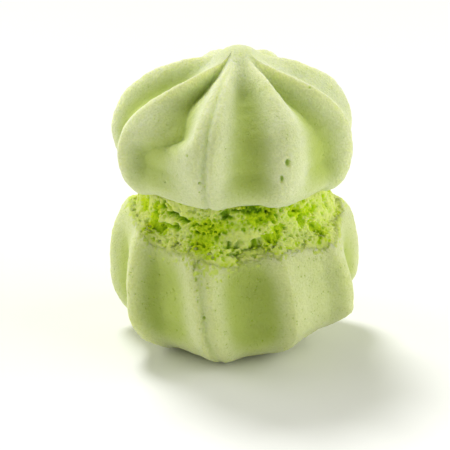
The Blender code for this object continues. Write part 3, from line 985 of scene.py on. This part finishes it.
def make_skin_material(name, settings, crest_color, hole_size):
    """Dry meringue skin: pale ribs, hollows painted a darker green as their shade, powdery and quite matt."""
    material, tree, shader, foam = start_material(name, 0.8, hole_size)
    hollow = add_node(tree, "ShaderNodeAttribute", (-450, 300), attribute_name="hollow")
    pore = add_node(tree, "ShaderNodeAttribute", (-450, -400), attribute_name="pore")
    # Painted shade: the hollow mask mixes the skin towards the darker green where shade falls between the
    # ribs.
    depth = remap(tree, (-200, 300), hollow.outputs["Fac"], 0.12, 1.0, 0.0, 1.0)
    base = mix_color(tree, (50, 300), depth, crest_color, settings.hollow_shade_color)
    soft = remap(tree, (-200, 100), foam.outputs["Mottle"], 0.35, 0.65, 0.0, 0.15)
    base = mix_color(tree, (250, 250), soft, base, settings.hollow_shade_color)
    dust = remap(tree, (-200, -100), foam.outputs["Powder"], 0.35, 0.65, 0.2, 0.0)
    base = mix_color(tree, (350, 100), dust, base, DUST_COLOR)
    holes = add_node(tree, "ShaderNodeMath", (-100, -300), operation="MAXIMUM")
    tree.links.new(foam.outputs["Holes"], holes.inputs[0])
    tree.links.new(pore.outputs["Fac"], holes.inputs[1])
    dim = remap(tree, (100, -300), holes.outputs[0], 0.2, 1.0, 0.0, 0.75)
    base = mix_color(tree, (450, 200), dim, base, PORE_COLOR)
    torn = add_node(tree, "ShaderNodeAttribute", (450, 450), attribute_name="torn")
    base = mix_color(tree, (650, 250), torn.outputs["Fac"], base, settings.torn_color)
    tree.links.new(base, shader.inputs["Base Color"])
    add_bump(tree, foam, shader, 1.0, 0.0003)
    shader.inputs["Roughness"].default_value = 0.88
    shader.inputs["Specular IOR Level"].default_value = 0.25
    shader.inputs["Subsurface Weight"].default_value = 0.9
    shader.inputs["Subsurface Radius"].default_value = (1.0, 1.0, 0.4)
    shader.inputs["Subsurface Scale"].default_value = 0.003
    return material


def make_crumb_material(name, settings):
    """Open crumb: pale where it is broken and dry, lime green inside, and a darker green painted in the holes
    as their shade.
    """
    material, tree, shader, foam = start_material(name, 1.0, 0.9)
    lime = add_node(tree, "ShaderNodeAttribute", (-450, 300), attribute_name="lime")
    deep = add_node(tree, "ShaderNodeAttribute", (-450, 500), attribute_name="deep")
    base = mix_color(tree, (250, 200), lime.outputs["Fac"], settings.pale_color, settings.bright_color)
    # Painted shade: darker green where the crumb's holes are deep.
    base = mix_color(tree, (450, 200), deep.outputs["Fac"], base, settings.deep_shade_color)
    tree.links.new(base, shader.inputs["Base Color"])
    add_bump(tree, foam, shader, 0.7, 0.00012)
    shader.inputs["Roughness"].default_value = 0.8
    shader.inputs["Specular IOR Level"].default_value = 0.2
    shader.inputs["Subsurface Weight"].default_value = 0.8
    shader.inputs["Subsurface Radius"].default_value = (1.0, 1.0, 0.2)
    shader.inputs["Subsurface Scale"].default_value = 0.0025
    return material


# ---------------------------------------------------------------- stage


def make_floor(settings):
    """A plain floor, which gives the cookie a little less light than the camera sees."""
    bm = bmesh.new()
    bmesh.ops.create_grid(bm, x_segments=1, y_segments=1, size=1.5)
    mesh = bpy.data.meshes.new("floor")
    bm.to_mesh(mesh)
    bm.free()
    material = bpy.data.materials.new("floor")
    material.use_nodes = True
    tree = material.node_tree
    shader = tree.nodes["Principled BSDF"]
    shader.inputs["Base Color"].default_value = (*settings.floor_color, 1.0)
    shader.inputs["Roughness"].default_value = 0.9
    shader.inputs["Specular IOR Level"].default_value = 0.1
    dull = add_node(tree, "ShaderNodeBsdfDiffuse", (0, -300))
    dull.inputs["Color"].default_value = (*(settings.floor_bounce * c for c in settings.floor_color), 1.0)
    path = add_node(tree, "ShaderNodeLightPath", (0, 300))
    seen = add_node(tree, "ShaderNodeMixShader", (400, 0))
    tree.links.new(path.outputs["Is Camera Ray"], seen.inputs["Fac"])
    tree.links.new(dull.outputs[0], seen.inputs[1])
    tree.links.new(shader.outputs[0], seen.inputs[2])
    tree.links.new(seen.outputs[0], tree.nodes["Material Output"].inputs["Surface"])
    mesh.materials.append(material)
    floor = bpy.data.objects.new("floor", mesh)
    bpy.context.scene.collection.objects.link(floor)


def aim(obj, at, target):
    """Puts a light or the camera at a point and turns it to look at the target."""
    obj.location = at
    obj.rotation_euler = (Vector(target) - Vector(at)).to_track_quat("-Z", "Y").to_euler()


def around(middle, turn, climb, away):
    """The point at that turn from the front and that height above level, in degrees, seen from the middle."""
    turn, climb = math.radians(turn), math.radians(climb)
    level = away * math.cos(climb)
    return (
        middle[0] + level * math.sin(turn),
        middle[1] - level * math.cos(turn),
        middle[2] + away * math.sin(climb),
    )


def make_light(name, kind, energy, at, target, size):
    """A sun, whose size is an angle, or a rectangle of light."""
    light = bpy.data.lights.new(name, kind)
    light.energy = energy
    if kind == "SUN":
        light.angle = size
    else:
        light.shape = "RECTANGLE"
        light.size, light.size_y = size
    obj = bpy.data.objects.new(name, light)
    bpy.context.scene.collection.objects.link(obj)
    aim(obj, at, target)
    return obj


def make_lights(settings, middle):
    scene = bpy.context.scene
    world = bpy.data.worlds.new("room")
    world.use_nodes = True
    world.node_tree.nodes["Background"].inputs["Color"].default_value = (*settings.sky_color, 1.0)
    world.node_tree.nodes["Background"].inputs["Strength"].default_value = settings.sky_strength
    scene.world = world
    make_light("key", "SUN", settings.sun_strength, around(middle, *KEY_FROM), middle, KEY_WIDTH)
    make_light("left", "AREA", settings.left_strength, around(middle, *LEFT_FROM), middle, LEFT_SIZE)
    make_light("right", "AREA", settings.right_strength, around(middle, *RIGHT_FROM), middle, RIGHT_SIZE)


def make_camera(settings, middle):
    target = tuple(at + offset * MM for at, offset in zip(middle, AIM))
    away, climb = settings.camera_distance, settings.camera_elevation
    data = bpy.data.cameras.new("camera")
    data.sensor_width = 36.0
    data.lens = settings.camera_lens
    data.clip_start = 0.01
    camera = bpy.data.objects.new("camera", data)
    bpy.context.scene.collection.objects.link(camera)
    at = (target[0], target[1] - away * math.cos(climb), target[2] + away * math.sin(climb))
    aim(camera, at, target)
    bpy.context.scene.camera = camera


# ---------------------------------------------------------------- operators and panel


class MERINGUE_OT_kisses(bpy.types.Operator):
    """Model the two ribbed kisses and their dry skins"""

    bl_idname = "meringue.kisses"
    bl_label = "Kisses"

    def execute(self, context):
        settings = context.scene.meringue_kisses
        upper = make_skin_material("upper_skin", settings, settings.crest_color, 0.3)
        # The lower skin gets the shaded crest colour: painted shade for the dimmer light on the lower kiss.
        lower = make_skin_material("lower_skin", settings, settings.lower_crest_shaded_color, 0.5)
        make_kiss(UPPER, "upper_meringue", UPPER_PORES, settings, upper)
        make_kiss(LOWER, "lower_meringue", LOWER_PORES, settings, lower)
        return {"FINISHED"}


class MERINGUE_OT_crumb(bpy.types.Operator):
    """Model the open crumb between the kisses"""

    bl_idname = "meringue.crumb"
    bl_label = "Crumb"

    def execute(self, context):
        settings = context.scene.meringue_crumb
        make_crumb(settings, make_crumb_material("open_crumb", settings))
        return {"FINISHED"}


class MERINGUE_OT_stage(bpy.types.Operator):
    """Set up the floor, the lights and the camera"""

    bl_idname = "meringue.stage"
    bl_label = "Stage"

    def execute(self, context):
        settings = context.scene.meringue_stage
        low, high = CAD_BOX
        middle = tuple((a + b) / 2 for a, b in zip(low, high))
        make_floor(settings)
        make_lights(settings, middle)
        make_camera(settings, middle)
        context.scene.view_settings.view_transform = "Standard"
        return {"FINISHED"}


class MERINGUE_PT_panel(bpy.types.Panel):
    """The cookie's steps and settings"""

    bl_idname = "MERINGUE_PT_panel"
    bl_label = "Meringue cookie"
    bl_space_type = "VIEW_3D"
    bl_region_type = "UI"
    bl_category = "Meringue"

    def draw(self, context):
        scene = context.scene
        groups = (
            ("meringue.kisses", scene.meringue_kisses),
            ("meringue.crumb", scene.meringue_crumb),
            ("meringue.stage", scene.meringue_stage),
        )
        for operator, settings in groups:
            box = self.layout.box()
            box.operator(operator)
            for key in settings.__annotations__:
                box.prop(settings, key)


CLASSES = (
    KissSettings,
    CrumbSettings,
    StageSettings,
    MERINGUE_OT_kisses,
    MERINGUE_OT_crumb,
    MERINGUE_OT_stage,
    MERINGUE_PT_panel,
)


def register():
    for cls in CLASSES:
        bpy.utils.register_class(cls)
    bpy.types.Scene.meringue_kisses = PointerProperty(type=KissSettings)
    bpy.types.Scene.meringue_crumb = PointerProperty(type=CrumbSettings)
    bpy.types.Scene.meringue_stage = PointerProperty(type=StageSettings)


def unregister():
    del bpy.types.Scene.meringue_stage
    del bpy.types.Scene.meringue_crumb
    del bpy.types.Scene.meringue_kisses
    for cls in reversed(CLASSES):
        bpy.utils.unregister_class(cls)


def main():
    register()
    bpy.ops.meringue.kisses()
    bpy.ops.meringue.crumb()
    bpy.ops.meringue.stage()


if __name__ == "__main__":
    main()
